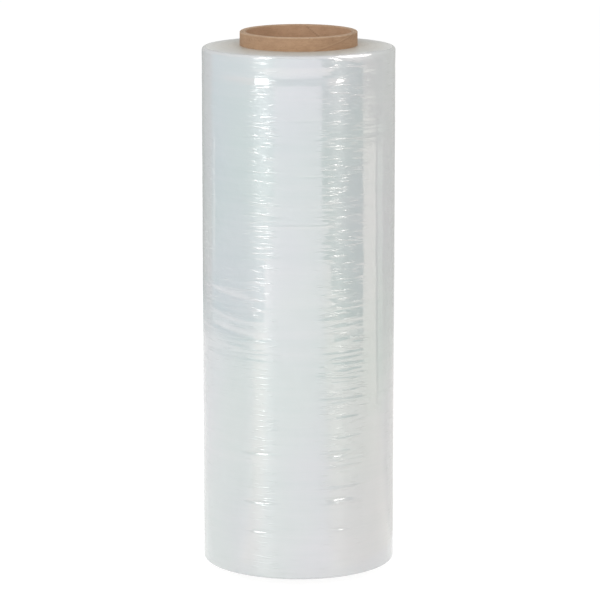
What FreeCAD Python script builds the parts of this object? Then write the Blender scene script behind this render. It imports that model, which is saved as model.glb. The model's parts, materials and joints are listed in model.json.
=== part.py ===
import FreeCAD, Part
import math
import os

import Sketcher

# Hand roll of clear stretch wrap standing on end: the film is wound tight on a spiral-wound paper
# core that stands out past it at both ends. The origin is the centre of the core's lower rim and
# +Z runs up the core. Sizes are in millimetres.

SIZES = (
    ("bore_diameter", 76.2, "inside of the core, for a 3 in spindle or handle"),
    ("core_wall", 4.5, "thickness of the core's wound paper wall"),
    ("core_rim_bevel", 0.5, "cut edges of the core, pressed down by the knife"),
    ("core_top_reach", 10.0, "core standing out above the film"),
    ("core_foot_reach", 6.0, "core standing out below the film"),
    ("seam_lead", 67.0, "rise of the outer ply's seam in one turn of the core"),
    ("seam_width", 1.0, "opening of the seam at the core's surface"),
    ("seam_depth", 0.3, "depth of the seam below the core's surface"),
    ("film_width", 381.0, "width of the web, which is the height of the wound film"),
    ("film_diameter", 140.0, "outside of the wound film"),
    ("winding_clearance", 0.05, "gap between the core and the first turn"),
    ("top_edge_rounding", 7.5, "soft upper edge of the winding"),
    ("foot_edge_rounding", 4.0, "edge that the winding is set down on"),
    ("lip_swell", 0.3, "how far the upper edge stands out past the winding"),
    ("neck_drop", 18.0, "distance of the neck below the upper end face"),
    ("neck_depth", 0.5, "how far the neck under the upper edge draws in"),
    ("band_pitch", 58.0, "average height of a winding band on the side"),
    ("band_depth", 0.3, "how far the side draws in between two bands"),
    ("turn_pitch", 4.4, "average width of a bundle of turns on an end face"),
    ("turn_depth", 0.3, "how far an end face draws in between two bundles"),
)

# Bands and bundles are uneven: each boundary wanders by this share of the pitch, along a sine.
UNEVENNESS = 0.28
WANDER = 2.3

# Flats that make up the quarter round of an edge of the winding.
EDGE_FLATS = 4


def make_sheet(doc):
    sheet = doc.addObject("Spreadsheet::Sheet", "sizes")
    for row, (alias, value, meaning) in enumerate(SIZES, start=1):
        sheet.set(f"A{row}", alias)
        sheet.set(f"B{row}", str(value))
        sheet.set(f"C{row}", meaning)
        sheet.setAlias(f"B{row}", alias)
    doc.recompute()
    return sheet


def new_body(doc, label):
    body = doc.addObject("PartDesign::Body", label)
    body.Label = label
    return body


def new_sketch(body, name, role):
    plane = next(feature for feature in body.Origin.OriginFeatures if feature.Role == role)
    sketch = body.newObject("Sketcher::SketchObject", name)
    sketch.AttachmentSupport = (plane, [""])
    sketch.MapMode = "FlatFace"
    return sketch


def number(holder, expression):
    """The value of a sheet expression, in mm or as a bare number."""
    value = holder.evalExpression(expression)
    return float(getattr(value, "Value", value))


def place(sketch, point):
    """A pair of sheet expressions as a point of the sketch."""
    return FreeCAD.Vector(number(sketch, point[0]), number(sketch, point[1]), 0)


def bind(sketch, name, constraint, expression):
    index = sketch.addConstraint(constraint)
    sketch.renameConstraint(index, name)
    sketch.setExpression(f"Constraints.{name}", expression)


def bind_point(sketch, name, geometry, end, point):
    """Hold one end of a line or arc at a point given as two sheet expressions."""
    for kind, expression in zip(("DistanceX", "DistanceY"), point):
        held = Sketcher.Constraint(kind, -1, 1, geometry, end, number(sketch, expression))
        bind(sketch, f"{name}_{kind[-1].lower()}", held, expression)


def add_circle(sketch, name, radius):
    circle = Part.Circle(FreeCAD.Vector(), FreeCAD.Vector(0, 0, 1), number(sketch, radius))
    index = sketch.addGeometry(circle)
    sketch.addConstraint(Sketcher.Constraint("Coincident", index, 3, -1, 1))
    bind(sketch, name, Sketcher.Constraint("Radius", index, number(sketch, radius)), radius)


def soft_edge(start, pull, end):
    """A parabola from start to end that leaves and arrives along the lines to pull."""
    curve = Part.BSplineCurve()
    curve.buildFromPolesMultsKnots([start, pull, end], [3, 3], [0, 1], False, 2)
    return curve


def add_outline(sketch, corners, pulls):
    """Closed outline through the corners. An edge that leaves a corner listed in pulls is a soft
    curve drawn towards that point, and every other edge is straight."""
    count = len(corners)
    edges = []
    for i, corner in enumerate(corners):
        start = place(sketch, corner)
        end = place(sketch, corners[(i + 1) % count])
        if i in pulls:
            edge = soft_edge(start, place(sketch, pulls[i]), end)
        else:
            edge = Part.LineSegment(start, end)
        edges.append(sketch.addGeometry(edge))
    for i, edge in enumerate(edges):
        sketch.addConstraint(Sketcher.Constraint("Coincident", edge, 2, edges[(i + 1) % count], 1))
        bind_point(sketch, f"corner_{i}", edge, 1, corners[i])
    for i, pull in pulls.items():
        circle = Part.Circle(place(sketch, pull), FreeCAD.Vector(0, 0, 1), 1)
        pole = sketch.addGeometry(circle, True)
        control = "InternalAlignment:Sketcher::BSplineControlPoint"
        sketch.addConstraint(Sketcher.Constraint(control, pole, 3, edges[i], 1))
        sketch.addConstraint(Sketcher.Constraint("Weight", pole, 1.0))
        bind_point(sketch, f"pull_{i}", pole, 3, pull)


def add_revolution(body, name, profile):
    revolution = body.newObject("PartDesign::Revolution", name)
    revolution.Profile = profile
    revolution.ReferenceAxis = (profile, ["V_Axis"])
    revolution.Angle = 360
    return revolution


def between(low, high, share):
    return f"({low} + ({high} - {low}) * {share:.4f})"


def uneven_shares(count):
    """Boundaries from 0 to 1 that split a length into count uneven stretches."""
    inner = [(i + UNEVENNESS * math.sin(WANDER * i)) / count for i in range(1, count)]
    return [0.0] + inner + [1.0]


def stretches(length, pitch):
    return max(1, round(length / pitch))


CORE_RADIUS = "(sizes.bore_diameter / 2 + sizes.core_wall)"
CORE_LENGTH = "(sizes.core_foot_reach + sizes.film_width + sizes.core_top_reach)"


def make_core(doc):
    core = new_body(doc, "core")
    ring = new_sketch(core, "core_ring", "XY_Plane")
    add_circle(ring, "bore_radius", "sizes.bore_diameter / 2")
    add_circle(ring, "core_radius", CORE_RADIUS)
    tube = core.newObject("PartDesign::Pad", "core_tube")
    tube.Profile = ring
    tube.setExpression("Length", CORE_LENGTH)
    doc.recompute()

    rims = [f"Edge{i}" for i, edge in enumerate(tube.Shape.Edges, start=1) if edge.isClosed()]
    bevel = core.newObject("PartDesign::Chamfer", "core_rims")
    bevel.Base = (tube, rims)
    bevel.setExpression("Size", "sizes.core_rim_bevel")
    doc.recompute()

    # The seam is a V whose sides run on past the surface, so that it opens cleanly.
    notch = new_sketch(core, "seam_notch", "XZ_Plane")
    outside = f"({CORE_RADIUS} + sizes.seam_depth)"
    add_outline(
        notch,
        corners=[
            (f"({CORE_RADIUS} - sizes.seam_depth)", "-sizes.seam_width"),
            (outside, "-2 * sizes.seam_width"),
            (outside, "0 mm"),
        ],
        pulls={},
    )
    seam = core.newObject("PartDesign::SubtractiveHelix", "core_seam")
    seam.Profile = notch
    seam.ReferenceAxis = (notch, ["V_Axis"])
    seam.Mode = "pitch-height-angle"
    seam.setExpression("Pitch", "sizes.seam_lead")
    seam.setExpression("Height", f"{CORE_LENGTH} + 2 * sizes.seam_width")
    doc.recompute()
    if not seam.Shape.Volume < bevel.Shape.Volume:
        raise RuntimeError("the seam cuts nothing from the core")
    return core


def make_film_roll(doc, sheet):
    bore = f"({CORE_RADIUS} + sizes.winding_clearance)"
    valley = "(sizes.film_diameter / 2 - sizes.band_depth)"
    lip = "(sizes.film_diameter / 2 + sizes.lip_swell)"
    foot_face = "sizes.core_foot_reach"
    top_face = "(sizes.core_foot_reach + sizes.film_width)"
    foot = f"({foot_face} + sizes.turn_depth)"
    top = f"({top_face} - sizes.turn_depth)"
    foot_flat = f"({valley} - sizes.foot_edge_rounding)"
    top_flat = f"({lip} - sizes.top_edge_rounding)"
    side_foot = f"({foot} + sizes.foot_edge_rounding)"
    side_top = f"({top} - sizes.top_edge_rounding)"
    neck = "(sizes.film_diameter / 2 - sizes.neck_depth)"
    neck_z = f"({top_face} - sizes.neck_drop)"

    film = new_body(doc, "film_roll")
    section = new_sketch(film, "film_section", "XZ_Plane")
    corners = []
    pulls = {}

    def length_between(low, high):
        return number(sheet, f"{high} - {low}")

    def ridges(start, end, valley_z, crest_z):
        """Bundles of turns across an end face, each a low ridge between two valleys."""
        shares = uneven_shares(stretches(abs(length_between(start, end)), sheet.turn_pitch))
        for low, high in zip(shares, shares[1:]):
            corners.append((between(start, end, low), valley_z))
            corners.append((between(start, end, (low + high) / 2), crest_z))

    def rounded(centre_x, centre_z, radius, start_angle):
        """An edge's quarter round, as flats that leave off where the next stretch begins."""
        for flat in range(EDGE_FLATS):
            angle = math.radians(start_angle + 90 * flat / EDGE_FLATS)
            x = f"({centre_x} + {radius} * {math.cos(angle):.6f})"
            z = f"({centre_z} + {radius} * {math.sin(angle):.6f})"
            corners.append((x, z))

    ridges(bore, foot_flat, foot, foot_face)
    rounded(foot_flat, side_foot, "sizes.foot_edge_rounding", start_angle=-90)
    # A band's curve reaches half way to its pull, so the pull lies a second depth outside.
    band_pull = "(sizes.film_diameter / 2 + sizes.band_depth)"
    shares = uneven_shares(stretches(length_between(side_foot, neck_z), sheet.band_pitch))
    for low, high in zip(shares, shares[1:]):
        middle = between(side_foot, neck_z, (low + high) / 2)
        pulls[len(corners)] = (band_pull, middle)
        corners.append((valley, between(side_foot, neck_z, low)))
    corners.append((neck, neck_z))
    rounded(top_flat, side_top, "sizes.top_edge_rounding", start_angle=0)
    ridges(top_flat, bore, top, top_face)
    corners.append((bore, top))
    add_outline(section, corners, pulls)
    add_revolution(film, "film_winding", section)
    doc.recompute()
    return film


def check(doc, pieces):
    for item in doc.Objects:
        if "Invalid" in item.State or "Error" in item.State:
            raise RuntimeError(f"{item.Name} failed: {item.State}")
    for piece in pieces:
        if piece.Shape.isNull() or not piece.Shape.isValid():
            raise RuntimeError(f"{piece.Label} has no valid shape")
        if len(piece.Shape.Solids) != 1:
            raise RuntimeError(f"{piece.Label} is not one solid")


def main():
    doc = FreeCAD.newDocument("stretch_wrap_roll")
    sheet = make_sheet(doc)
    pieces = [make_core(doc), make_film_roll(doc, sheet)]
    doc.recompute()
    check(doc, pieces)
    os.makedirs("parts", exist_ok=True)
    for piece in pieces:
        piece.Shape.exportStep(f"parts/{piece.Label}.step")


main()
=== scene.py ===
"""Dresses the stretch wrap roll: clear film wound on a kraft paper core, standing on a pale floor.

Run as a script in Blender. Lengths are in metres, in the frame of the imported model: the origin is
the centre of the core's lower rim and +Z runs up the core.
"""

import json
import math

import bpy
import numpy as np
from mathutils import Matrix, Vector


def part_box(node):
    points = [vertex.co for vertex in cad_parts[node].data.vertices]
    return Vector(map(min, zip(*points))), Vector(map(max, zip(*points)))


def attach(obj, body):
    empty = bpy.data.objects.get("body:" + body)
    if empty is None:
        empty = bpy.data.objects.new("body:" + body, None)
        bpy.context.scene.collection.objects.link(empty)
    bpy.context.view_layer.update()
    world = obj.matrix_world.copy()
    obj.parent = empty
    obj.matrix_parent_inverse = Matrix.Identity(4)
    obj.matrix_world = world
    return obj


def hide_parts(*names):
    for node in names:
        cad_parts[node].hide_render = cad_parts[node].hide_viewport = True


bl_info = {
    "name": "Stretch wrap roll",
    "version": (1, 0, 0),
    "blender": (4, 5, 0),
    "location": "3D View > Sidebar > Wrap roll",
    "description": "Builds a roll of clear stretch film on its paper core, with a studio around it",
    "category": "Add Mesh",
}

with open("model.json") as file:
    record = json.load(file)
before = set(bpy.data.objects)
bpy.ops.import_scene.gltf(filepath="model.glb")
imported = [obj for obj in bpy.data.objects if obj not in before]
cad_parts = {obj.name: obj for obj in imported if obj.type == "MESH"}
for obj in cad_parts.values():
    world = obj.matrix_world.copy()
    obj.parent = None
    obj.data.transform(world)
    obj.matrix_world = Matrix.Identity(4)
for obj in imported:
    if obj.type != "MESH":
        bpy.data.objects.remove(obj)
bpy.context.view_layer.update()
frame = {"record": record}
CORE_LOW, CORE_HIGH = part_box("core")
FILM_LOW, FILM_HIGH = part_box("film_roll")
BORE = next(mount for mount in frame["record"]["mounts"] if mount["name"] == "core_bore")
BORE_RADIUS = BORE["dims"]["r_mm"] / 1000
CORE_RADIUS = CORE_HIGH.x
FULL_TURN = 2 * math.pi


def length(name, description, default, **more):
    return bpy.props.FloatProperty(
        name=name, description=description, default=default, unit="LENGTH", precision=5, **more
    )


def colour(name, description, default):
    return bpy.props.FloatVectorProperty(
        name=name, description=description, default=default, subtype="COLOR", size=3, min=0, max=1
    )


def share(name, description, default):
    return bpy.props.FloatProperty(
        name=name, description=description, default=default, subtype="FACTOR", min=0, max=1
    )


class FilmSettings(bpy.types.PropertyGroup):
    """Sizes and colours of the wound film."""

    columns: bpy.props.IntProperty(name="Columns", description="Faces round the roll", default=96)
    side_rows: bpy.props.IntProperty(name="Rows", description="Faces up the side", default=860)
    face_rows: bpy.props.IntProperty(name="Face rows", description="Faces across an end", default=60)
    seed: bpy.props.IntProperty(name="Seed", description="Choice of the ridges", default=31)
    winding_gap: length("Winding gap", "Room between the core and the first turn", 0.00005)
    lip_swell: length("Lip swell", "How far the upper edge stands out past the side", 0.00025)
    top_rounding: length("Top rounding", "Soft upper edge of the winding", 0.0022)
    soft_rounding: length("Soft rounding", "Upper edge where it is softest, right of the front", 0.0052)
    top_fall: length("Top fall", "How far the upper end face falls away at the back", 0.0024)
    front_fall: length("Front fall", "How far the upper end face falls away at the front", 0.0001)
    foot_rounding: length("Foot rounding", "Edge that the winding is set down on", 0.002)
    neck_drop: length("Neck drop", "Distance of the neck below the upper end face", 0.0152)
    neck_depth: length("Neck depth", "How far the neck draws in", 0.0005)
    band_depth: length("Band depth", "Size of the slow waves up the side", 0.00005)
    wave_height: length("Wave height", "Size of the slow unevenness round the side", 0.00003)
    ridge_count: bpy.props.IntProperty(name="Ridges", description="Fine ridges on the side", default=520)
    ridge_height: length("Ridge height", "Height of the largest fine ridge", 0.00009)
    streak_height: length("Streak height", "Height of the finest streaks", 0.00012)
    wrinkle_height: length("Wrinkle height", "Height of the sparse short wrinkles", 0.00014)
    turn_depth: length("Turn depth", "Relief of the turns on an end face", 0.0003)
    # Reach of the painted shade by the core on the end face.
    core_shade_reach: length("Core show", "How far the core shows through the cut edges", 0.0085)
    tail_step: length("Tail step", "Height of the film's free end on the turn below", 0.00012)
    tail_angle: bpy.props.FloatProperty(
        name="Tail angle", description="Where the film's free end lies", default=math.radians(72),
        subtype="ANGLE",
    )
    clear_colour: colour("Clear film", "Colour where the turns lie close", (0.660, 0.698, 0.697))
    cloudy_colour: colour("Cloudy film", "Colour where air lies between the turns", (0.768, 0.755, 0.768))
    end_colour: colour("End face", "Colour of the cut edges", (0.765, 0.755, 0.725))
    end_deep_colour: colour("End face hollows", "Colour between the turns", (0.63, 0.62, 0.595))
    # Painted light: the outermost turns of the end face are lighter, where it turns into the rounded
    # edge.
    end_edge_light_colour: colour("End face by the edge", "Colour of the outermost turns", (0.84, 0.855, 0.855))
    # Painted shade: the end face is darker and browner by the core, with the core's brown showing through
    # the film.
    end_core_shade_colour: colour("End face by the core", "Colour where the core shows", (0.55, 0.505, 0.43))


class CoreSettings(bpy.types.PropertyGroup):
    """Sizes and colours of the paper core."""

    columns: bpy.props.IntProperty(name="Columns", description="Faces round the core", default=192)
    seed: bpy.props.IntProperty(name="Seed", description="Choice of the rim's waves", default=7)
    plies: bpy.props.IntProperty(name="Plies", description="Paper layers seen on the rim", default=6)
    rim_relief: length("Rim relief", "How uneven the plies are at the cut", 0.00018)
    seam_lead: length("Seam lead", "Rise of the outer seam in one turn", 0.067)
    seam_width: length("Seam width", "Width of the outer seam", 0.0010)
    seam_depth: length("Seam depth", "Depth of the outer seam", 0.0003)
    bore_seam_lead: length("Inner seam lead", "Rise of the inner seam in one turn", 0.181)
    bore_seam_start: length("Inner seam start", "Height of the inner seam at the +X side", 0.1744)
    seam_colour: colour("Seam edge", "Colour of the cut edge along a seam", (0.62, 0.44, 0.30))
    seam_show: share("Seam show", "How clearly the seams stand out", 0.22)
    board_colour: colour("Board", "Colour of the kraft board", (0.370, 0.217, 0.125))
    fibre_colour: colour("Fibres", "Colour of the pale fibres", (0.518, 0.332, 0.205))
    rim_colour: colour("Rim", "Colour of the cut plies", (0.455, 0.300, 0.190))
    rim_fibre_colour: colour("Rim fibres", "Colour of the frayed fibres", (0.610, 0.440, 0.310))
    bore_colour: colour("Bore", "Colour inside the core", (0.470, 0.285, 0.172))
    bore_fibre_colour: colour("Bore fibres", "Fibres inside the core", (0.620, 0.395, 0.250))


class StudioSettings(bpy.types.PropertyGroup):
    """The camera, the lamps and what the film reflects."""

    camera_distance: length("Camera distance", "Level distance from the core's axis", 2.533)
    camera_height: length("Camera height", "Height above the floor", 0.699)
    camera_side: length("Camera side", "Sideways place of the camera", 0.001)
    camera_pitch: bpy.props.FloatProperty(
        name="Camera pitch", description="How far the camera looks down",
        default=math.radians(11.171), subtype="ANGLE",
    )
    camera_lens: bpy.props.FloatProperty(name="Lens", description="Focal length in mm", default=211.4)
    floor_size: length("Floor size", "Side of the square floor", 40.0)
    room_light: bpy.props.FloatProperty(name="Room light", description="Level of the sky", default=0.46)
    softbox_light: bpy.props.FloatProperty(name="Softboxes", description="Power in watts", default=7.8)
    top_light: bpy.props.FloatProperty(name="Top light", description="Power in watts", default=2.5)
    left_card: colour("Left card", "Colour that the left of the film reflects", (0.36, 0.56, 0.60))
    right_card: colour("Right card", "Colour that the right of the film reflects", (0.08, 0.26, 0.27))
    side_card: colour("Side cards", "Colour that the far sides of the film reflect", (0.44, 0.46, 0.45))
    room_colour: colour("Room", "Colour that the film reflects above the floor", (0.54, 0.54, 0.52))
    front_colour: colour(
        "Room in front", "Colour that it reflects from behind the camera", (0.16, 0.36, 0.40)
    )


# Meshes turned round the core's axis.


def add_object(name, data):
    piece = bpy.data.objects.new(name, data)
    bpy.context.scene.collection.objects.link(piece)
    return piece


def turned_mesh(name, radii, heights, angles, materials, row_material, masks=None):
    """A closed ring of rows and columns. radii, heights and angles are tables of one value for
    each row and column, and the rows run counter-clockwise round the section. masks holds such
    tables too, each kept on the mesh under its name."""
    rows, columns = radii.shape
    points = np.stack((radii * np.cos(angles), radii * np.sin(angles), heights), axis=-1)
    index = np.arange(rows * columns).reshape(rows, columns)
    above = np.roll(index, -1, axis=0)
    corners = (index, np.roll(index, -1, axis=1), np.roll(above, -1, axis=1), above)
    faces = np.stack(corners, axis=-1).reshape(-1, 4)
    mesh = bpy.data.meshes.new(name)
    mesh.from_pydata(points.reshape(-1, 3).tolist(), [], faces.tolist())
    for material in materials:
        mesh.materials.append(material)
    mesh.polygons.foreach_set("material_index", np.repeat(row_material, columns).astype(np.int32))
    mesh.polygons.foreach_set("use_smooth", np.ones(len(faces), dtype=bool))
    for key, values in (masks or {}).items():
        layer = mesh.attributes.new(key, "FLOAT", "POINT")
        layer.data.foreach_set("value", values.astype(np.float32).ravel())
    mesh.update()
    return add_object(name, mesh)


def bump_at(distance, width):
    """A smooth hump of height one and the given half width."""
    return np.exp(-((distance / width) ** 2))


def ramp(value, low, high):
    """Nought up to low, one from high on, and a soft rise between them."""
    share = np.clip((value - low) / (high - low), 0, 1)
    return share * share * (3 - 2 * share)


def smooth_between(value, low, high, soft):
    """One between two values and nought outside them, with soft sides."""
    return ramp(value, low - soft, low + soft) * (1 - ramp(value, high - soft, high + soft))


def signed_turn(angles):
    """Angles brought to between half a turn back and half a turn on."""
    return (angles + math.pi) % FULL_TURN - math.pi


def smooth_noise(rng, count, spacing):
    """Values between about -1 and 1 that wander over the given number of steps."""
    steps = np.arange(0, count + spacing, spacing)
    return np.interp(np.arange(count), steps, rng.uniform(-1, 1, len(steps)))


# Shader nodes.


def new_material(name):
    material = bpy.data.materials.new(name)
    material.use_nodes = True
    tree = material.node_tree
    tree.nodes.clear()
    output = tree.nodes.new("ShaderNodeOutputMaterial")
    output.location = (600, 0)
    return material, tree, output


def add_node(tree, kind, place, settings=None, **values):
    """A node at a place in the editor, with its settings and the values of its input sockets."""
    node = tree.nodes.new(kind)
    node.location = place
    for key, value in (settings or {}).items():
        setattr(node, key, value)
    for key, value in values.items():
        node.inputs[key.replace("_", " ")].default_value = value
    return node


def link(tree, source, target):
    tree.links.new(source, target)


def rgba(value):
    return (*value, 1.0)


def new_group(name, inputs, outputs):
    group = bpy.data.node_groups.new(name, "ShaderNodeTree")
    for label, kind, default in inputs:
        socket = group.interface.new_socket(label, in_out="INPUT", socket_type=kind)
        socket.default_value = default
    for label, kind in outputs:
        group.interface.new_socket(label, in_out="OUTPUT", socket_type=kind)
    entry = group.nodes.new("NodeGroupInput")
    entry.location = (-900, 0)
    leave = group.nodes.new("NodeGroupOutput")
    leave.location = (700, 0)
    return group, entry, leave


def stretched_noise(tree, place, scale, **values):
    """Noise in object coordinates with its own scale along each axis."""
    coordinates = add_node(tree, "ShaderNodeTexCoord", (place[0] - 400, place[1]))
    mapping = add_node(tree, "ShaderNodeMapping", (place[0] - 200, place[1]), Scale=scale)
    noise = add_node(tree, "ShaderNodeTexNoise", place, Scale=1.0, **values)
    link(tree, coordinates.outputs["Object"], mapping.inputs["Vector"])
    link(tree, mapping.outputs["Vector"], noise.inputs["Vector"])
    return noise


def stretch_value(tree, place, source, low, high, top=1.0, settings=None):
    """A value stretched so that low becomes nought and high becomes top."""
    node = add_node(
        tree, "ShaderNodeMapRange", place, settings, From_Min=low, From_Max=high, To_Max=top
    )
    link(tree, source, node.inputs["Value"])
    return node.outputs["Result"]


def mix_colours(tree, place, amount, first, second, blend="MIX"):
    """Two colours mixed by an amount. Each of the three is a fixed value or the socket that it
    comes from."""
    node = add_node(tree, "ShaderNodeMix", place, {"data_type": "RGBA", "blend_type": blend})
    for index, value in ((0, amount), (6, first), (7, second)):
        if isinstance(value, bpy.types.NodeSocket):
            link(tree, value, node.inputs[index])
        else:
            node.inputs[index].default_value = value
    return node.outputs[2]


def film_haze_group():
    """Cloudiness of film on film: slow clouds, and fine streaks that run round the roll."""
    name = "film_haze"
    if name in bpy.data.node_groups:
        return bpy.data.node_groups[name]
    group, entry, leave = new_group(
        name,
        inputs=(
            ("Close Colour", "NodeSocketColor", (0.6, 0.65, 0.65, 1)),
            ("Cloudy Colour", "NodeSocketColor", (0.7, 0.7, 0.7, 1)),
            ("Streaks", "NodeSocketFloat", 0.4),
        ),
        outputs=(
            ("Color", "NodeSocketColor"),
            ("Haze", "NodeSocketFloat"),
            ("Fine Height", "NodeSocketFloat"),
        ),
    )
    clouds = stretched_noise(group, (-500, 200), (5, 5, 9), Detail=3.0, Roughness=0.5)
    streaks = stretched_noise(group, (-500, -50), (9, 9, 170), Detail=4.0, Roughness=0.6)
    fine = stretched_noise(group, (-500, -300), (26, 26, 620), Detail=2.0, Roughness=0.5)
    blend = add_node(group, "ShaderNodeMix", (-200, 100), {"data_type": "FLOAT"})
    link(group, entry.outputs["Streaks"], blend.inputs[0])
    link(group, clouds.outputs["Fac"], blend.inputs[2])
    link(group, streaks.outputs["Fac"], blend.inputs[3])
    haze = stretch_value(group, (0, 100), blend.outputs[0], 0.3, 0.7)
    tint = mix_colours(
        group, (250, 200), haze, entry.outputs["Close Colour"], entry.outputs["Cloudy Colour"]
    )
    relief = add_node(group, "ShaderNodeMath", (250, -200), {"operation": "MULTIPLY_ADD"})
    relief.inputs[1].default_value = 0.35
    link(group, fine.outputs["Fac"], relief.inputs[0])
    link(group, streaks.outputs["Fac"], relief.inputs[2])
    link(group, tint, leave.inputs["Color"])
    link(group, haze, leave.inputs["Haze"])
    link(group, relief.outputs["Value"], leave.inputs["Fine Height"])
    return group


def kraft_fibre_group():
    """Kraft board: mottled pulp, pale fibres and dark specks."""
    name = "kraft_fibres"
    if name in bpy.data.node_groups:
        return bpy.data.node_groups[name]
    group, entry, leave = new_group(
        name,
        inputs=(
            ("Board Colour", "NodeSocketColor", (0.4, 0.26, 0.16, 1)),
            ("Fibre Colour", "NodeSocketColor", (0.56, 0.4, 0.27, 1)),
        ),
        outputs=(("Color", "NodeSocketColor"), ("Height", "NodeSocketFloat")),
    )
    pulp = stretched_noise(group, (-500, 250), (60, 60, 110), Detail=5.0, Roughness=0.6)
    fibres = stretched_noise(group, (-500, 0), (260, 260, 900), Detail=3.0, Roughness=0.7)
    specks = stretched_noise(group, (-500, -250), (900, 900, 1500), Detail=1.0, Roughness=0.5)
    blend = add_node(group, "ShaderNodeMath", (-200, 150), {"operation": "MULTIPLY_ADD"})
    blend.inputs[1].default_value = 0.55
    link(group, pulp.outputs["Fac"], blend.inputs[0])
    half = add_node(group, "ShaderNodeMath", (-350, 0), {"operation": "MULTIPLY"})
    half.inputs[1].default_value = 0.45
    link(group, fibres.outputs["Fac"], half.inputs[0])
    link(group, half.outputs["Value"], blend.inputs[2])
    pale = stretch_value(group, (0, 150), blend.outputs["Value"], 0.32, 0.68)
    tint = mix_colours(
        group, (200, 200), pale, entry.outputs["Board Colour"], entry.outputs["Fibre Colour"]
    )
    dots = stretch_value(group, (0, -200), specks.outputs["Fac"], 0.66, 0.76, top=0.45)
    speckled = mix_colours(group, (450, 100), dots, tint, (0.45, 0.36, 0.28, 1), "MULTIPLY")
    link(group, speckled, leave.inputs["Color"])
    link(group, fibres.outputs["Fac"], leave.inputs["Height"])
    return group


SMOOTH = {"interpolation_type": "SMOOTHSTEP"}
GREENER_WHITE = (0.955, 0.995, 0.978, 1)
BLUER_WHITE = (0.975, 0.975, 1.0, 1)


def wrinkle_height(tree):
    """Sparse wrinkles: only the crests of a stretched noise stand up, where the film is creased."""
    crests = stretched_noise(tree, (-900, -600), (85, 85, 860), Detail=1.5, Roughness=0.5)
    crest = stretch_value(tree, (-700, -600), crests.outputs["Fac"], 0.56, 0.76, settings=SMOOTH)
    creases = add_node(tree, "ShaderNodeAttribute", (-900, -850), {"attribute_name": "creasing"})
    creased = add_node(tree, "ShaderNodeMath", (-550, -600), {"operation": "MULTIPLY"})
    link(tree, crest, creased.inputs[0])
    link(tree, creases.outputs["Fac"], creased.inputs[1])
    return creased.outputs["Value"]


def slow_tint(tree, body):
    """The body colour with slow clouds of a greener and a bluer white, as layered film shows."""
    clouds = stretched_noise(tree, (-450, 400), (13, 13, 9), Detail=1.5, Roughness=0.5)
    hues = stretch_value(tree, (-250, 400), clouds.outputs["Fac"], 0.36, 0.64, settings=SMOOTH)
    hue = mix_colours(tree, (-50, 400), hues, GREENER_WHITE, BLUER_WHITE)
    return mix_colours(tree, (100, 300), 1.0, body, hue, "MULTIPLY")


def film_material(name, close, cloudy, streaks, gloss_range, relief, coat, spread):
    """Film on film: a cloudy body under a clear gloss. relief holds the depth of the fine streaks
    and of the wrinkles."""
    material, tree, output = new_material(name)
    haze = add_node(tree, "ShaderNodeGroup", (-700, 100), {"node_tree": film_haze_group()})
    haze.inputs["Close Colour"].default_value = rgba(close)
    haze.inputs["Cloudy Colour"].default_value = rgba(cloudy)
    haze.inputs["Streaks"].default_value = streaks
    gloss = add_node(
        tree, "ShaderNodeMapRange", (-200, -50), To_Min=gloss_range[0], To_Max=gloss_range[1]
    )
    link(tree, haze.outputs["Haze"], gloss.inputs["Value"])
    wrinkles = add_node(tree, "ShaderNodeBump", (-450, -300), Strength=1.0, Distance=relief[1])
    link(tree, wrinkle_height(tree), wrinkles.inputs["Height"])
    fine = add_node(tree, "ShaderNodeBump", (-200, -300), Strength=1.0, Distance=relief[0])
    link(tree, haze.outputs["Fine Height"], fine.inputs["Height"])
    link(tree, wrinkles.outputs["Normal"], fine.inputs["Normal"])
    # The streaks run round the roll, so they spread a lamp's reflection up and down.
    round_roll = add_node(
        tree, "ShaderNodeTangent", (-200, -550), {"direction_type": "RADIAL", "axis": "Z"}
    )
    surface = add_node(
        tree, "ShaderNodeBsdfPrincipled", (200, 0), IOR=1.8, Coat_IOR=2.3, Coat_Weight=coat,
        Coat_Roughness=0.03, Anisotropic=spread, Anisotropic_Rotation=0.25,
    )
    link(tree, round_roll.outputs["Tangent"], surface.inputs["Tangent"])
    link(tree, slow_tint(tree, haze.outputs["Color"]), surface.inputs["Base Color"])
    link(tree, gloss.outputs["Result"], surface.inputs["Roughness"])
    link(tree, fine.outputs["Normal"], surface.inputs["Normal"])
    link(tree, wrinkles.outputs["Normal"], surface.inputs["Coat Normal"])
    link(tree, surface.outputs["BSDF"], output.inputs["Surface"])
    return material


def ring_group():
    """Fine rings round the core's axis, as the cut edges of wound film or paper show."""
    name = "wound_rings"
    if name in bpy.data.node_groups:
        return bpy.data.node_groups[name]
    group, entry, leave = new_group(
        name,
        inputs=(("Ring Scale", "NodeSocketFloat", 1000.0),),
        outputs=(("Rings", "NodeSocketFloat"),),
    )
    coordinates = add_node(group, "ShaderNodeTexCoord", (-900, 200))
    flat = add_node(group, "ShaderNodeVectorMath", (-700, 200), {"operation": "MULTIPLY"})
    flat.inputs[1].default_value = (1, 1, 0)
    radius = add_node(group, "ShaderNodeVectorMath", (-500, 200), {"operation": "LENGTH"})
    rings = add_node(
        group, "ShaderNodeTexNoise", (-200, 0), {"noise_dimensions": "1D"}, Detail=4.0, Roughness=0.7
    )
    link(group, coordinates.outputs["Object"], flat.inputs[0])
    link(group, flat.outputs["Vector"], radius.inputs[0])
    link(group, radius.outputs["Value"], rings.inputs["W"])
    link(group, entry.outputs["Ring Scale"], rings.inputs["Scale"])
    link(group, rings.outputs["Fac"], leave.inputs["Rings"])
    return group


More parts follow.
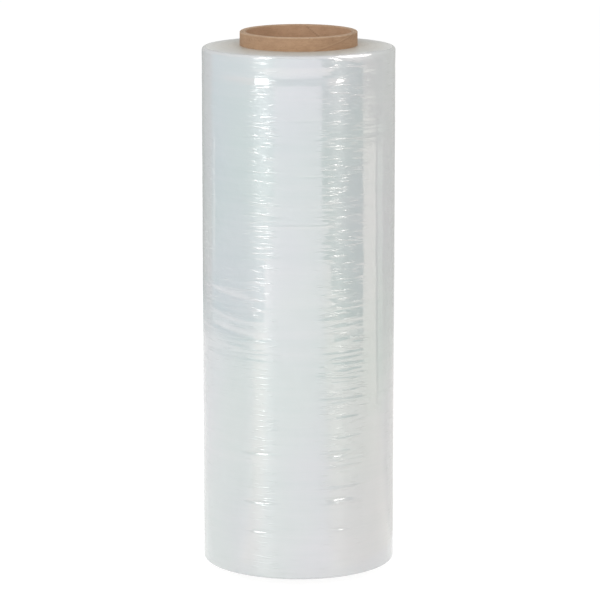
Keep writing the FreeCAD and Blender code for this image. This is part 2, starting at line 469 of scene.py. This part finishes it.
def cut_edge_material(settings):
    """The film's cut edges: cloudy rings. By the core they carry painted shade, and the core's brown
    showing through the film. By the outer edge they carry a painted lighter band.
    """
    material, tree, output = new_material("film_cut_edges")
    haze = add_node(tree, "ShaderNodeGroup", (-900, 300), {"node_tree": film_haze_group()})
    haze.inputs["Close Colour"].default_value = rgba(settings.end_deep_colour)
    haze.inputs["Cloudy Colour"].default_value = rgba(settings.end_colour)
    haze.inputs["Streaks"].default_value = 0.1
    rings = add_node(tree, "ShaderNodeGroup", (-900, 0), {"node_tree": ring_group()})
    rings.inputs["Ring Scale"].default_value = 380
    hollows = stretch_value(tree, (-700, 0), rings.outputs["Rings"], 0.34, 0.66, top=0.8)
    lined = mix_colours(
        tree, (-450, 200), hollows, haze.outputs["Color"], rgba(settings.end_deep_colour)
    )
    # Painted shade by the core, mixed with the core's brown showing through the film.
    core_shade_amount = add_node(tree, "ShaderNodeAttribute", (-450, 450), {"attribute_name": "core_shade_and_tint"})
    core_shaded = mix_colours(
        tree, (-200, 200), core_shade_amount.outputs["Fac"], lined, rgba(settings.end_core_shade_colour)
    )
    # Painted light: lighter towards the outer edge of the end face.
    edge_light_amount = add_node(tree, "ShaderNodeAttribute", (-200, 450), {"attribute_name": "edge_light"})
    edge_lit_colour = mix_colours(
        tree, (0, 200), edge_light_amount.outputs["Fac"], core_shaded, rgba(settings.end_edge_light_colour)
    )
    relief = add_node(tree, "ShaderNodeBump", (-200, -200), Strength=1.0, Distance=0.0002)
    link(tree, rings.outputs["Rings"], relief.inputs["Height"])
    round_core = add_node(
        tree, "ShaderNodeTangent", (-200, -450), {"direction_type": "RADIAL", "axis": "Z"}
    )
    surface = add_node(
        tree, "ShaderNodeBsdfPrincipled", (200, 0), Roughness=0.32, IOR=1.6, Anisotropic=0.8,
        Anisotropic_Rotation=0.25,
    )
    link(tree, edge_lit_colour, surface.inputs["Base Color"])
    link(tree, relief.outputs["Normal"], surface.inputs["Normal"])
    link(tree, round_core.outputs["Tangent"], surface.inputs["Tangent"])
    link(tree, surface.outputs["BSDF"], output.inputs["Surface"])
    return material


def board_material(name, board, fibre, seam, bump, plies=0.0):
    """Kraft board, with a pale edge and a dark gap along its seams. plies is how clearly the cut
    ends of its layers show."""
    material, tree, output = new_material(name)
    kraft = add_node(tree, "ShaderNodeGroup", (-700, 100), {"node_tree": kraft_fibre_group()})
    kraft.inputs["Board Colour"].default_value = rgba(board)
    kraft.inputs["Fibre Colour"].default_value = rgba(fibre)
    edge = add_node(tree, "ShaderNodeAttribute", (-1000, 400), {"attribute_name": "seam_edge"})
    pale = stretch_value(tree, (-700, 500), edge.outputs["Fac"], 0.0, 1.0)
    dark = stretch_value(tree, (-700, 350), edge.outputs["Fac"], 0.0, -1.0)
    lit = mix_colours(tree, (-400, 250), pale, kraft.outputs["Color"], rgba(seam))
    paper = mix_colours(tree, (-150, 250), dark, lit, (0.35, 0.28, 0.22, 1), "MULTIPLY")
    relief = add_node(tree, "ShaderNodeBump", (-150, -200), Strength=1.0, Distance=bump)
    link(tree, kraft.outputs["Height"], relief.inputs["Height"])
    surface = add_node(tree, "ShaderNodeBsdfPrincipled", (200, 0), Roughness=0.72, IOR=1.4)
    if plies:
        rings = add_node(tree, "ShaderNodeGroup", (-400, 0), {"node_tree": ring_group()})
        rings.inputs["Ring Scale"].default_value = 1100
        lines = stretch_value(tree, (-200, 50), rings.outputs["Rings"], 0.45, 0.65, top=plies)
        paper = mix_colours(tree, (0, 250), lines, paper, (0.62, 0.56, 0.50, 1), "MULTIPLY")
    link(tree, paper, surface.inputs["Base Color"])
    link(tree, relief.outputs["Normal"], surface.inputs["Normal"])
    link(tree, surface.outputs["BSDF"], output.inputs["Surface"])
    return material


# Parts of the side where the film lies smoother or is creased more: the angles from the camera's
# side that they lie between, in degrees to the right, the heights, and how strongly it creases.
CREASING_PARTS = (
    (-13, 11, 0.030, 0.385, 0.1),
    (-13, 75, -0.050, 0.055, 0.5),
    (14, 43, 0.075, 0.210, 1.6),
    (-62, -31, 0.225, 0.385, 0.15),
    (-62, -31, 0.160, 0.225, 0.45),
    (-62, -31, -0.050, 0.160, 0.2),
    (44, 62, -0.050, 0.385, 0.2),
    (120, 150, -0.050, 0.385, 0.2),
    (-150, -120, -0.050, 0.385, 0.2),
)

# Long creases: the middle as an angle and a height, half the reach in degrees, the rise along
# that reach, the half width and the height.
LONG_CREASES = (
    (-50, 0.2125, 20, -0.0030, 0.0026, -0.00016),
    (-46, 0.1975, 16, -0.0022, 0.0020, 0.00013),
    (-42, 0.1860, 18, -0.0028, 0.0024, -0.00017),
    (-38, 0.1750, 12, -0.0012, 0.0015, 0.00010),
    (8, 0.3010, 9, -0.0003, 0.0006, -0.00011),
    (4, 0.3410, 12, 0.0002, 0.0009, -0.00008),
    (0, 0.2655, 32, 0.0001, 0.0007, 0.00010),
    (9, 0.3570, 6, 0.0002, 0.0005, 0.00007),
    (-25, 0.0990, 9, 0.0002, 0.0010, -0.00055),
    (24, 0.0975, 5, 0.0004, 0.0011, -0.00060),
    (-24, 0.0625, 9, -0.0002, 0.0010, -0.00045),
    (24, 0.0650, 5, 0.0004, 0.0011, -0.00060),
    (-24, 0.0410, 7, 0.0001, 0.0010, -0.00055),
    (25, 0.0425, 4, 0.0001, 0.0011, -0.00060),
)

# Short creases one under the other on the right: their number, the height of the first, the
# distance between two, the middle and half the reach in degrees.
CREASE_ROW = (13, 0.2050, 0.0118, 28, 12)


def bearings_of(angles):
    """Angles round the axis as degrees from the camera's side, to the right."""
    return np.degrees(signed_turn(angles + math.pi / 2))


def creasing(heights, angles):
    """How strongly the film is creased: one all over, more or less in the listed parts."""
    bearings = bearings_of(angles)
    amount = np.ones(angles.shape)
    for left, right, low, high, strength in CREASING_PARTS:
        inside = smooth_between(bearings, left, right, 4) * smooth_between(heights, low, high, 0.008)
        amount *= 1 + (strength - 1) * inside
    return amount


def crease_row(rng):
    """The row of short creases, each a little out of line, in the terms of the long ones."""
    count, first, pitch, middle, reach = CREASE_ROW
    for step in range(count):
        level = first - pitch * (step + 0.25 * rng.uniform(-1, 1))
        turn = middle + 3 * rng.uniform(-1, 1)
        size = (0.00013 + 0.00002 * step) * rng.uniform(0.7, 1)
        yield turn, level, reach * rng.uniform(0.7, 1.1), 0.0011, 0.0008, size


def long_creases(heights, angles, rng):
    """Relief of the long creases and of the row of short ones."""
    bearings = bearings_of(angles)
    field = np.zeros(angles.shape)
    for middle, level, reach, rise, width, size in (*LONG_CREASES, *crease_row(rng)):
        along = (bearings - middle) / reach
        across = heights - level - rise * along
        field += size * bump_at(across, width) * np.exp(-(along ** 4))
    return field


def ridge_field(heights, angles, settings):
    """Height of the fine ridges that run part of the way round the side."""
    rng = np.random.default_rng(settings.seed)
    low, high = heights.min(), heights.max()
    field = np.zeros(angles.shape)
    for _ in range(settings.ridge_count):
        level = rng.uniform(low, high)
        middle = rng.uniform(0, FULL_TURN)
        reach = math.radians(rng.uniform(8, 60))
        rise = rng.normal(0, 0.0012)
        width = rng.uniform(0.0004, 0.0011)
        size = settings.ridge_height * rng.uniform(0.1, 1) ** 2 * rng.choice((-1, 1))
        around = signed_turn(angles - middle)
        across = heights - level - rise * around
        field += size * bump_at(across, width) * np.exp(-((around / reach) ** 4))
    return field * (0.1 + 0.9 * creasing(heights, angles)) + long_creases(heights, angles, rng)


def slow_waves(heights, angles, rng):
    """Slow unevenness of the winding, between about -1 and 1: a sum of waves over the side."""
    field = np.zeros(angles.shape)
    count = 24
    for _ in range(count):
        around = rng.integers(4, 15)
        along = FULL_TURN / rng.uniform(0.014, 0.07)
        start = rng.uniform(0, FULL_TURN)
        field += np.cos(around * angles + rng.choice((-1, 1)) * along * heights + start)
    return field / math.sqrt(count)


def side_shape(drop, angles, settings):
    """How far the side stands out or draws in, by the distance below the upper end face. The lip
    and the neck under it are plain in front and fade to the sides."""
    lip = settings.lip_swell * np.where(drop < 0.007, 1, bump_at(drop - 0.007, 0.0045))
    beside = drop - settings.neck_drop
    neck = -settings.neck_depth * np.where(beside < 0, bump_at(beside, 0.005), bump_at(beside, 0.0036))
    around = bearings_of(angles)
    return (lip + neck) * (0.12 + 0.88 * smooth_between(around, -47, 24, 15))


def face_relief(rng, count, settings):
    """Relief across an end face, from the bore out: bundles of turns with fine lines on them."""
    across = np.linspace(0, 1, count)
    bundles = 0.5 * smooth_noise(rng, count, 9) + 0.3 * smooth_noise(rng, count, 4)
    lines = 0.2 * rng.uniform(-1, 1, count)
    fade = np.clip(8 * across * (1 - across), 0, 1)
    return settings.turn_depth * 0.5 * (bundles + lines - 1) * fade


class WRAPROLL_OT_make_film(bpy.types.Operator):
    """Make the wound film round the core"""

    bl_idname = "wraproll.make_film"
    bl_label = "Wound film"

    def execute(self, context):
        settings = context.scene.wraproll_film
        rng = np.random.default_rng(settings.seed)
        bore = CORE_RADIUS + settings.winding_gap
        foot, top = FILM_LOW.z, FILM_HIGH.z
        side = FILM_HIGH.y - settings.lip_swell

        # The film's free end is a step, so the columns start and stop on either side of it.
        turn = np.linspace(0, FULL_TURN - 0.006, settings.columns)
        soft = smooth_between(bearings_of(settings.tail_angle + turn), 27, 62, 9)
        rounding = settings.top_rounding + (settings.soft_rounding - settings.top_rounding) * soft

        # The section, counter-clockwise from the bore's lower edge, one row of places at a time.
        def row_between(low, high, count):
            return low + (high - low) * np.linspace(0, 1, count)[:, None]

        bore_row = np.full(settings.columns, bore)
        side_row = np.full(settings.columns, side)
        quarter = np.radians(np.linspace(0, 90, 13))[:, None]
        foot_relief = face_relief(rng, settings.face_rows, settings)[:, None]
        top_relief = face_relief(rng, settings.face_rows, settings)[::-1, None]
        side_low = np.full(settings.columns, foot + settings.foot_rounding)
        radii = np.concatenate((
            row_between(bore_row, side_row - settings.foot_rounding, settings.face_rows),
            (side_row - settings.foot_rounding * (1 - np.sin(quarter)))[1:],
            row_between(side_row, side_row, settings.side_rows + 2)[1:-1],
            side_row - rounding * (1 - np.cos(quarter)),
            row_between(side_row - rounding, bore_row, settings.face_rows)[1:],
        ))
        heights = np.concatenate((
            foot - foot_relief + 0 * side_row,
            (foot + settings.foot_rounding * (1 - np.cos(quarter)) + 0 * side_row)[1:],
            row_between(side_low, top - rounding, settings.side_rows + 2)[1:-1],
            top - rounding * (1 - np.sin(quarter)),
            (top + top_relief + 0 * side_row)[1:],
        ))
        end_rows = settings.face_rows
        wander = 0.012 * smooth_noise(rng, len(heights), 60)
        angles = settings.tail_angle + turn[None, :] + wander[:, None]
        outside = np.clip((radii - (side - 0.002)) / 0.002, 0, 1)
        shape = side_shape(top - heights, angles, settings)
        waves = settings.band_depth * smooth_noise(rng, len(heights), 22)[:, None]
        waves = waves + settings.wave_height * slow_waves(heights, angles, rng)
        step = settings.tail_step * (0.5 - turn / FULL_TURN)[None, :]
        radii = radii + outside * (shape + waves + step + ridge_field(heights, angles, settings))
        radii = np.minimum(radii, FILM_HIGH.y)

        # The upper end face sinks away from the core, most of all at the back.
        behind = 0.5 + 0.5 * np.sin(angles)
        fall = settings.front_fall + (settings.top_fall - settings.front_fall) * behind
        outward = np.clip((radii - bore) / (side - bore), 0, 1) ** 1.5
        upper = ramp(heights, top - 0.014, top - 0.002)
        heights = heights - fall * outward * upper

        side_material = film_material(
            "film_side", settings.clear_colour, settings.cloudy_colour,
            streaks=0.35, gloss_range=(0.36, 0.44), coat=1.0, spread=0.95,
            relief=(settings.streak_height, settings.wrinkle_height),
        )
        end_material = cut_edge_material(settings)
        row_material = np.zeros(len(heights), dtype=np.int32)
        row_material[:end_rows] = 1
        row_material[-end_rows:] = 1
        film = turned_mesh(
            "film", radii, heights, angles, (side_material, end_material), row_material,
            masks={
                "creasing": creasing(heights, angles),
                # Painted light on the end face, lighter towards its outer edge.
                "edge_light": 0.6 * ramp(radii, side - 0.014, side - 0.002),
                # Painted shade on the end face near the core, with the core's brown showing through.
                "core_shade_and_tint": 0.9 * np.exp(-((radii - bore) / settings.core_shade_reach) ** 1.3),
            },
        )
        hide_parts("film_roll")
        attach(film, "root")
        return {"FINISHED"}


def from_seam(heights, turn, start, lead):
    """How far above the nearest turn of a seam each place lies."""
    above = heights - start - lead * turn / FULL_TURN
    return (above + lead / 2) % lead - lead / 2


# The pressed edge of the core's rims, the distance between the fine rows of its mesh outside and
# inside the upper end, and how far down the bore is seen.
RIM_BEVEL = 0.0005
OUTSIDE_STEP = 0.0003
INSIDE_STEP = 0.0004
SEEN_DEPTH = 0.030


class WRAPROLL_OT_make_core(bpy.types.Operator):
    """Make the spiral-wound paper core"""

    bl_idname = "wraproll.make_core"
    bl_label = "Paper core"

    def execute(self, context):
        settings = context.scene.wraproll_core
        rng = np.random.default_rng(settings.seed)
        low, high = CORE_LOW.z, CORE_HIGH.z
        edge = RIM_BEVEL
        fine = np.arange(FILM_HIGH.z - 0.003, high - edge, OUTSIDE_STEP)
        outside_heights = np.concatenate((np.linspace(low + edge, fine[0], 50)[:-1], fine))
        rim_rows = 4 * settings.plies + 1
        rim_radii = np.linspace(CORE_RADIUS - edge, BORE_RADIUS + edge, rim_rows)
        inside_fine = np.arange(high - edge, high - SEEN_DEPTH, -INSIDE_STEP)
        inside_heights = np.concatenate((inside_fine, np.linspace(inside_fine[-1], low + edge, 60)[1:]))
        radii = np.concatenate((
            np.full(len(outside_heights), CORE_RADIUS),
            rim_radii,
            np.full(len(inside_heights), BORE_RADIUS),
            rim_radii[::-1],
        ))
        heights = np.concatenate((
            outside_heights,
            np.full(rim_rows, high),
            inside_heights,
            np.full(rim_rows, low),
        ))
        count = settings.columns
        turn = np.linspace(0, FULL_TURN, count, endpoint=False)
        angles = np.repeat(turn[None, :], len(radii), axis=0)
        radii = np.repeat(radii[:, None], count, axis=1)
        heights = np.repeat(heights[:, None], count, axis=1)

        # The outer seam winds up the outside as it does on the solid.
        rows_out = len(outside_heights)
        seam_edge = np.zeros(radii.shape)
        seam = from_seam(heights[:rows_out], turn, -settings.seam_width, settings.seam_lead)
        radii[:rows_out] -= 0.3 * settings.seam_depth * bump_at(seam, settings.seam_width * 0.5)
        seam_edge[:rows_out] = bump_at(seam - 0.0006, 0.0005) - bump_at(seam + 0.0003, 0.0004)
        inner = slice(rows_out + rim_rows, rows_out + rim_rows + len(inside_heights))
        seam = from_seam(heights[inner], turn, settings.bore_seam_start, settings.bore_seam_lead)
        radii[inner] += 0.3 * settings.seam_depth * bump_at(seam, settings.seam_width * 0.6)
        seam_edge[inner] = 2 * (bump_at(seam - 0.0006, 0.0006) - bump_at(seam + 0.0006, 0.0006))

        # Each ply stands a little higher or lower at the cut, and dips between its neighbours.
        for row in range(rim_rows):
            across = row / (rim_rows - 1) * settings.plies
            dip = 0.5 + 0.5 * math.cos(FULL_TURN * across)
            waves = smooth_noise(rng, count, 16)
            waves += (waves[0] - waves[-1]) * np.linspace(0, 1, count)
            relief = settings.rim_relief * (0.5 * dip + 0.25 + 0.25 * waves)
            heights[rows_out + row] = high - np.maximum(relief, 0)

        seam_colour = settings.seam_colour
        board, fibre = settings.board_colour, settings.fibre_colour
        materials = (
            board_material("core_outside", board, fibre, seam_colour, 0.00005),
            board_material(
                "core_rim", settings.rim_colour, settings.rim_fibre_colour, seam_colour, 0.0001,
                plies=0.6,
            ),
            board_material(
                "core_bore", settings.bore_colour, settings.bore_fibre_colour, seam_colour, 0.00005
            ),
        )
        row_material = np.zeros(len(radii), dtype=np.int32)
        row_material[rows_out - 1:rows_out + rim_rows] = 1
        row_material[rows_out + rim_rows:rows_out + rim_rows + len(inside_heights) - 1] = 2
        row_material[rows_out + rim_rows + len(inside_heights) - 1:] = 1
        core = turned_mesh(
            "core_tube", radii, heights, angles, materials, row_material,
            masks={"seam_edge": settings.seam_show * seam_edge},
        )
        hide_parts("core")
        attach(core, "root")
        return {"FINISHED"}


def lit_only_for(tree, rays, place):
    """One where a ray of one of the named kinds meets the surface, and nought elsewhere."""
    path = add_node(tree, "ShaderNodeLightPath", place)
    total = path.outputs[rays[0]]
    for step, ray in enumerate(rays[1:]):
        node = add_node(tree, "ShaderNodeMath", (place[0] + 180 * (step + 1), place[1]),
                        {"operation": "MAXIMUM"})
        link(tree, total, node.inputs[0])
        link(tree, path.outputs[ray], node.inputs[1])
        total = node.outputs["Value"]
    return total


SEEN_RAYS = ("Is Camera Ray", "Is Glossy Ray", "Is Transmission Ray")


def make_world(scene, settings):
    world = bpy.data.worlds.new("pale_room")
    world.use_nodes = True
    tree = world.node_tree
    tree.nodes.clear()
    output = add_node(tree, "ShaderNodeOutputWorld", (600, 0))
    seen = add_node(tree, "ShaderNodeBackground", (0, 150), Color=(1, 1, 1, 1), Strength=1.0)
    light = add_node(
        tree, "ShaderNodeBackground", (0, -50), Color=(1, 1, 1, 1), Strength=settings.room_light
    )
    mix = add_node(tree, "ShaderNodeMixShader", (350, 0))
    link(tree, lit_only_for(tree, SEEN_RAYS, (-600, 200)), mix.inputs[0])
    link(tree, light.outputs[0], mix.inputs[1])
    link(tree, seen.outputs[0], mix.inputs[2])
    link(tree, mix.outputs[0], output.inputs["Surface"])
    scene.world = world


def make_floor(settings):
    half = settings.floor_size / 2
    mesh = bpy.data.meshes.new("floor")
    corners = [(-half, -half, 0), (half, -half, 0), (half, half, 0), (-half, half, 0)]
    mesh.from_pydata(corners, [], [(0, 1, 2, 3)])
    floor = add_object("floor", mesh)
    material, tree, output = new_material("pale_floor")
    matt = add_node(tree, "ShaderNodeBsdfDiffuse", (0, -100), Color=(0.9, 0.9, 0.9, 1))
    shade = add_node(tree, "ShaderNodeBsdfDiffuse", (0, 100), Color=(0.18, 0.18, 0.18, 1))
    white = add_node(tree, "ShaderNodeEmission", (0, 250), Color=(1, 1, 1, 1), Strength=0.94)
    lit = add_node(tree, "ShaderNodeAddShader", (200, 150))
    link(tree, white.outputs[0], lit.inputs[0])
    link(tree, shade.outputs[0], lit.inputs[1])
    mix = add_node(tree, "ShaderNodeMixShader", (400, 0))
    link(tree, lit_only_for(tree, SEEN_RAYS, (-600, 300)), mix.inputs[0])
    link(tree, matt.outputs[0], mix.inputs[1])
    link(tree, lit.outputs[0], mix.inputs[2])
    link(tree, mix.outputs[0], output.inputs["Surface"])
    mesh.materials.append(material)


def bearing(angle, distance):
    """A place at an angle from the camera's side, turning to the right, in degrees."""
    return distance * math.sin(math.radians(angle)), -distance * math.cos(math.radians(angle))


# Painted reflection of the floor near the roll, which only the film's gloss sees. In places it is
# brighter than white, as painted pools of light. Each entry gives a colour, the angles from the camera's
# side that it lies between, in degrees to the right, and how soft its sides are.
NEAR_FLOOR = (
    ((1.03, 1.05, 1.05), -120, -60, 9),
    ((1.16, 1.15, 1.18), -62, 32, 7),
    ((1.30, 1.20, 1.16), -54, -38, 4),
    ((1.13, 1.09, 1.02), 32, 118, 7),
    ((0.90, 0.89, 0.86), 118, 160, 6),
)

# Painted colours of the reflected floor and room farther out, and the angles where the painted strips at
# the far right begin and end.
FRONT_FLOOR = (0.80, 0.86, 0.95)
LIT_HORIZON = (0.55, 0.66, 0.70)
BACK_CARD = (0.56, 0.57, 0.55)
WHITE_LINE = (1.0, 1.0, 1.0)
PALE_STRIP = (1.12, 1.12, 1.02)
GREEN_STRIP = (0.80, 0.87, 0.80)
STRIPS_LEFT = 82
PALE_RIGHT = 103.5
GREEN_LEFT = 107.5
STRIPS_RIGHT = 118

# An angle past the one straight behind the roll, where cards that reach the back end.
PAST_BACK = 230


def paint(colours, colour, amount):
    """Bring every place of a table of colours nearer to one colour, by its own amount."""
    colours += amount[..., None] * (np.array(colour) - colours)


def painted_floor_colours(angle, distance, settings):
    """Painted colour of the reflected floor at an angle from the camera, to the right in degrees, and at
    a distance from the roll. Near the roll it is white and brighter in patches, as painted pools of
    light, and painted cards lie farther out."""
    colours = np.ones((*angle.shape, 3))
    for tint, left, right, soft in NEAR_FLOOR:
        paint(colours, tint, smooth_between(angle, left, right, soft))
    paint(colours, FRONT_FLOOR, smooth_between(angle, -45, 45, 5) * ramp(distance, 0.8, 1.9))
    spread = ramp(-distance, -1.75, -1.25)
    left_edge = -28.5 - 11.0 * spread
    right_edge = 27.0 + 10.0 * spread + 5.0 * ramp(-distance, -1.25, -0.95)
    line = smooth_between(distance, 1.25, 2.3, 0.1)
    strip = ramp(distance, 0.35, 0.85)
    cards = (
        (settings.left_card, -PAST_BACK, left_edge, 0.8, ramp(distance, 0.80, 1.15)),
        (settings.right_card, right_edge, STRIPS_LEFT, 0.8, ramp(distance, 0.86, 1.02)),
        (settings.side_card, PALE_RIGHT, GREEN_LEFT, 0.8, ramp(distance, 0.5, 0.8)),
        (BACK_CARD, STRIPS_RIGHT, PAST_BACK, 1.5, ramp(distance, 0.5, 1.2)),
        (settings.side_card, -PAST_BACK, -124, 2.0, ramp(distance, 0.7, 1.2)),
        (WHITE_LINE, -121, -118, 0.8, line),
        (PALE_STRIP, STRIPS_LEFT, PALE_RIGHT, 0.8, strip),
        (GREEN_STRIP, GREEN_LEFT, STRIPS_RIGHT, 0.8, strip),
        (settings.side_card, STRIPS_LEFT, STRIPS_RIGHT, 0.8, ramp(distance, 1.9, 2.7)),
    )
    for card, left, right, soft, reach in cards:
        paint(colours, card, smooth_between(angle, left, right, soft) * reach)
    return colours


def make_reflection(name, points, colours):
    """A glowing sheet, no lamp, that only the film's gloss sees: a painted reflection of the studio,
    coloured point by point.
    """
    rows, columns = points.shape[:2]
    index = np.arange(rows * columns).reshape(rows, columns)
    corners = (index[:-1, :-1], index[:-1, 1:], index[1:, 1:], index[1:, :-1])
    faces = np.stack(corners, axis=-1).reshape(-1, 4)
    mesh = bpy.data.meshes.new(name)
    mesh.from_pydata(points.reshape(-1, 3).tolist(), [], faces.tolist())
    layer = mesh.color_attributes.new("reflected", "FLOAT_COLOR", "POINT")
    full = np.ones((rows * columns, 4), dtype=np.float32)
    full[:, :3] = colours.reshape(-1, 3)
    layer.data.foreach_set("color", full.ravel())
    sheet = add_object(name, mesh)
    material, tree, output = new_material(name)
    paint = add_node(tree, "ShaderNodeVertexColor", (-200, 0), {"layer_name": "reflected"})
    glow = add_node(tree, "ShaderNodeEmission", (0, 0), Strength=1.0)
    link(tree, paint.outputs["Color"], glow.inputs["Color"])
    link(tree, glow.outputs[0], output.inputs["Surface"])
    mesh.materials.append(material)
    sheet.visible_camera = False
    sheet.visible_diffuse = False
    sheet.visible_transmission = False
    sheet.visible_shadow = False


def make_reflections(settings):
    """Glowing sheets painted with the floor's cards and the room above them, with a painted lit horizon:
    painted reflections that only the film's gloss sees.
    """
    room_radius = 5.0
    floor_gap = 0.003

    def places(distance, turn, height):
        return np.stack((distance * np.sin(turn), -distance * np.cos(turn), height), axis=-1)

    degrees = np.linspace(-180, 180, 721)
    distance, angle = np.meshgrid(np.geomspace(0.11, room_radius, 80), degrees, indexing="ij")
    points = places(distance, np.radians(angle), np.full(angle.shape, floor_gap))
    make_reflection("painted_floor_glow", points, painted_floor_colours(angle, distance, settings))
    rise, angle = np.meshgrid(np.linspace(0, 90, 61), np.linspace(-180, 180, 241), indexing="ij")
    climb = np.radians(rise)
    height = room_radius * np.sin(climb) + floor_gap
    points = places(room_radius * np.cos(climb), np.radians(angle), height)
    colours = np.ones(points.shape) * np.array(settings.room_colour)
    front = smooth_between(angle, -34, 34, 4) * (1 - ramp(rise, 20, 30))
    paint(colours, settings.front_colour, front)
    lit = smooth_between(angle, -29, 27, 1.5) * (1 - ramp(rise, 0.5, 3.0))
    paint(colours, LIT_HORIZON, lit)
    make_reflection("painted_room_glow", points, colours)


def make_softbox(name, angle, distance, height, size, power, tint, drop=0.0):
    """A rectangular lamp that faces the roll, level or at a place lower by the drop."""
    lamp = bpy.data.lights.new(name, "AREA")
    lamp.shape = "RECTANGLE"
    lamp.size, lamp.size_y = size
    lamp.energy = power
    lamp.color = tint
    holder = add_object(name, lamp)
    x, y = bearing(angle, distance)
    holder.location = (x, y, height)
    tilt = math.atan2(drop, distance)
    holder.rotation_euler = (math.radians(90) - tilt, 0, math.radians(angle))
    holder.visible_camera = False
    return holder


def make_camera(scene, settings):
    data = bpy.data.cameras.new("camera")
    data.lens = settings.camera_lens
    data.sensor_width = 36.0
    camera = add_object("camera", data)
    camera.location = (settings.camera_side, -settings.camera_distance, settings.camera_height)
    camera.rotation_euler = (math.radians(90) - settings.camera_pitch, 0, 0)
    scene.camera = camera


class WRAPROLL_OT_make_studio(bpy.types.Operator):
    """Make the floor, the lamps, the reflected cards and the camera"""

    bl_idname = "wraproll.make_studio"
    bl_label = "Studio"

    def execute(self, context):
        scene = context.scene
        settings = scene.wraproll_studio
        make_world(scene, settings)
        make_floor(settings)
        power = settings.softbox_light
        cool, warm = (0.97, 1.0, 1.0), (1.0, 0.97, 0.91)
        make_softbox("softbox_left", -43.0, 1.1, 0.98, (0.34, 1.3), power, cool)
        make_softbox("softbox_right", 48.3, 1.1, 0.98, (0.17, 1.3), 0.56 * power, warm)
        make_softbox("softbox_side", 92.0, 1.0, 1.6, (0.40, 0.7), 0.1 * power, warm, 1.3)
        back = make_softbox("softbox_back", 122.0, 0.9, 1.46, (0.7, 0.5), 0.6 * power, warm, 1.07)
        back.visible_diffuse = False
        above = make_softbox("softbox_top", 0, 0.3, 2.0, (1.2, 1.2), settings.top_light, cool, 1.8)
        above.visible_glossy = False
        make_reflections(settings)
        make_camera(scene, settings)
        scene.view_settings.view_transform = "Standard"
        return {"FINISHED"}


class WRAPROLL_PT_panel(bpy.types.Panel):
    """Buttons for the roll's pieces"""

    bl_label = "Wrap roll"
    bl_idname = "WRAPROLL_PT_panel"
    bl_space_type = "VIEW_3D"
    bl_region_type = "UI"
    bl_category = "Wrap roll"

    def draw(self, context):
        for operator in OPERATORS:
            self.layout.operator(operator.bl_idname)
        for name in SETTINGS:
            box = self.layout.box()
            group = getattr(context.scene, name)
            for key in group.bl_rna.properties.keys():
                if key not in ("rna_type", "name"):
                    box.prop(group, key)


OPERATORS = (WRAPROLL_OT_make_core, WRAPROLL_OT_make_film, WRAPROLL_OT_make_studio)
SETTINGS = {
    "wraproll_film": FilmSettings,
    "wraproll_core": CoreSettings,
    "wraproll_studio": StudioSettings,
}


def register():
    for cls in (*SETTINGS.values(), *OPERATORS, WRAPROLL_PT_panel):
        bpy.utils.register_class(cls)
    for name, group in SETTINGS.items():
        setattr(bpy.types.Scene, name, bpy.props.PointerProperty(type=group))


def unregister():
    for name in SETTINGS:
        delattr(bpy.types.Scene, name)
    for cls in reversed((*SETTINGS.values(), *OPERATORS, WRAPROLL_PT_panel)):
        bpy.utils.unregister_class(cls)


def main():
    register()
    bpy.ops.wraproll.make_core()
    bpy.ops.wraproll.make_film()
    bpy.ops.wraproll.make_studio()


if __name__ == "__main__":
    main()
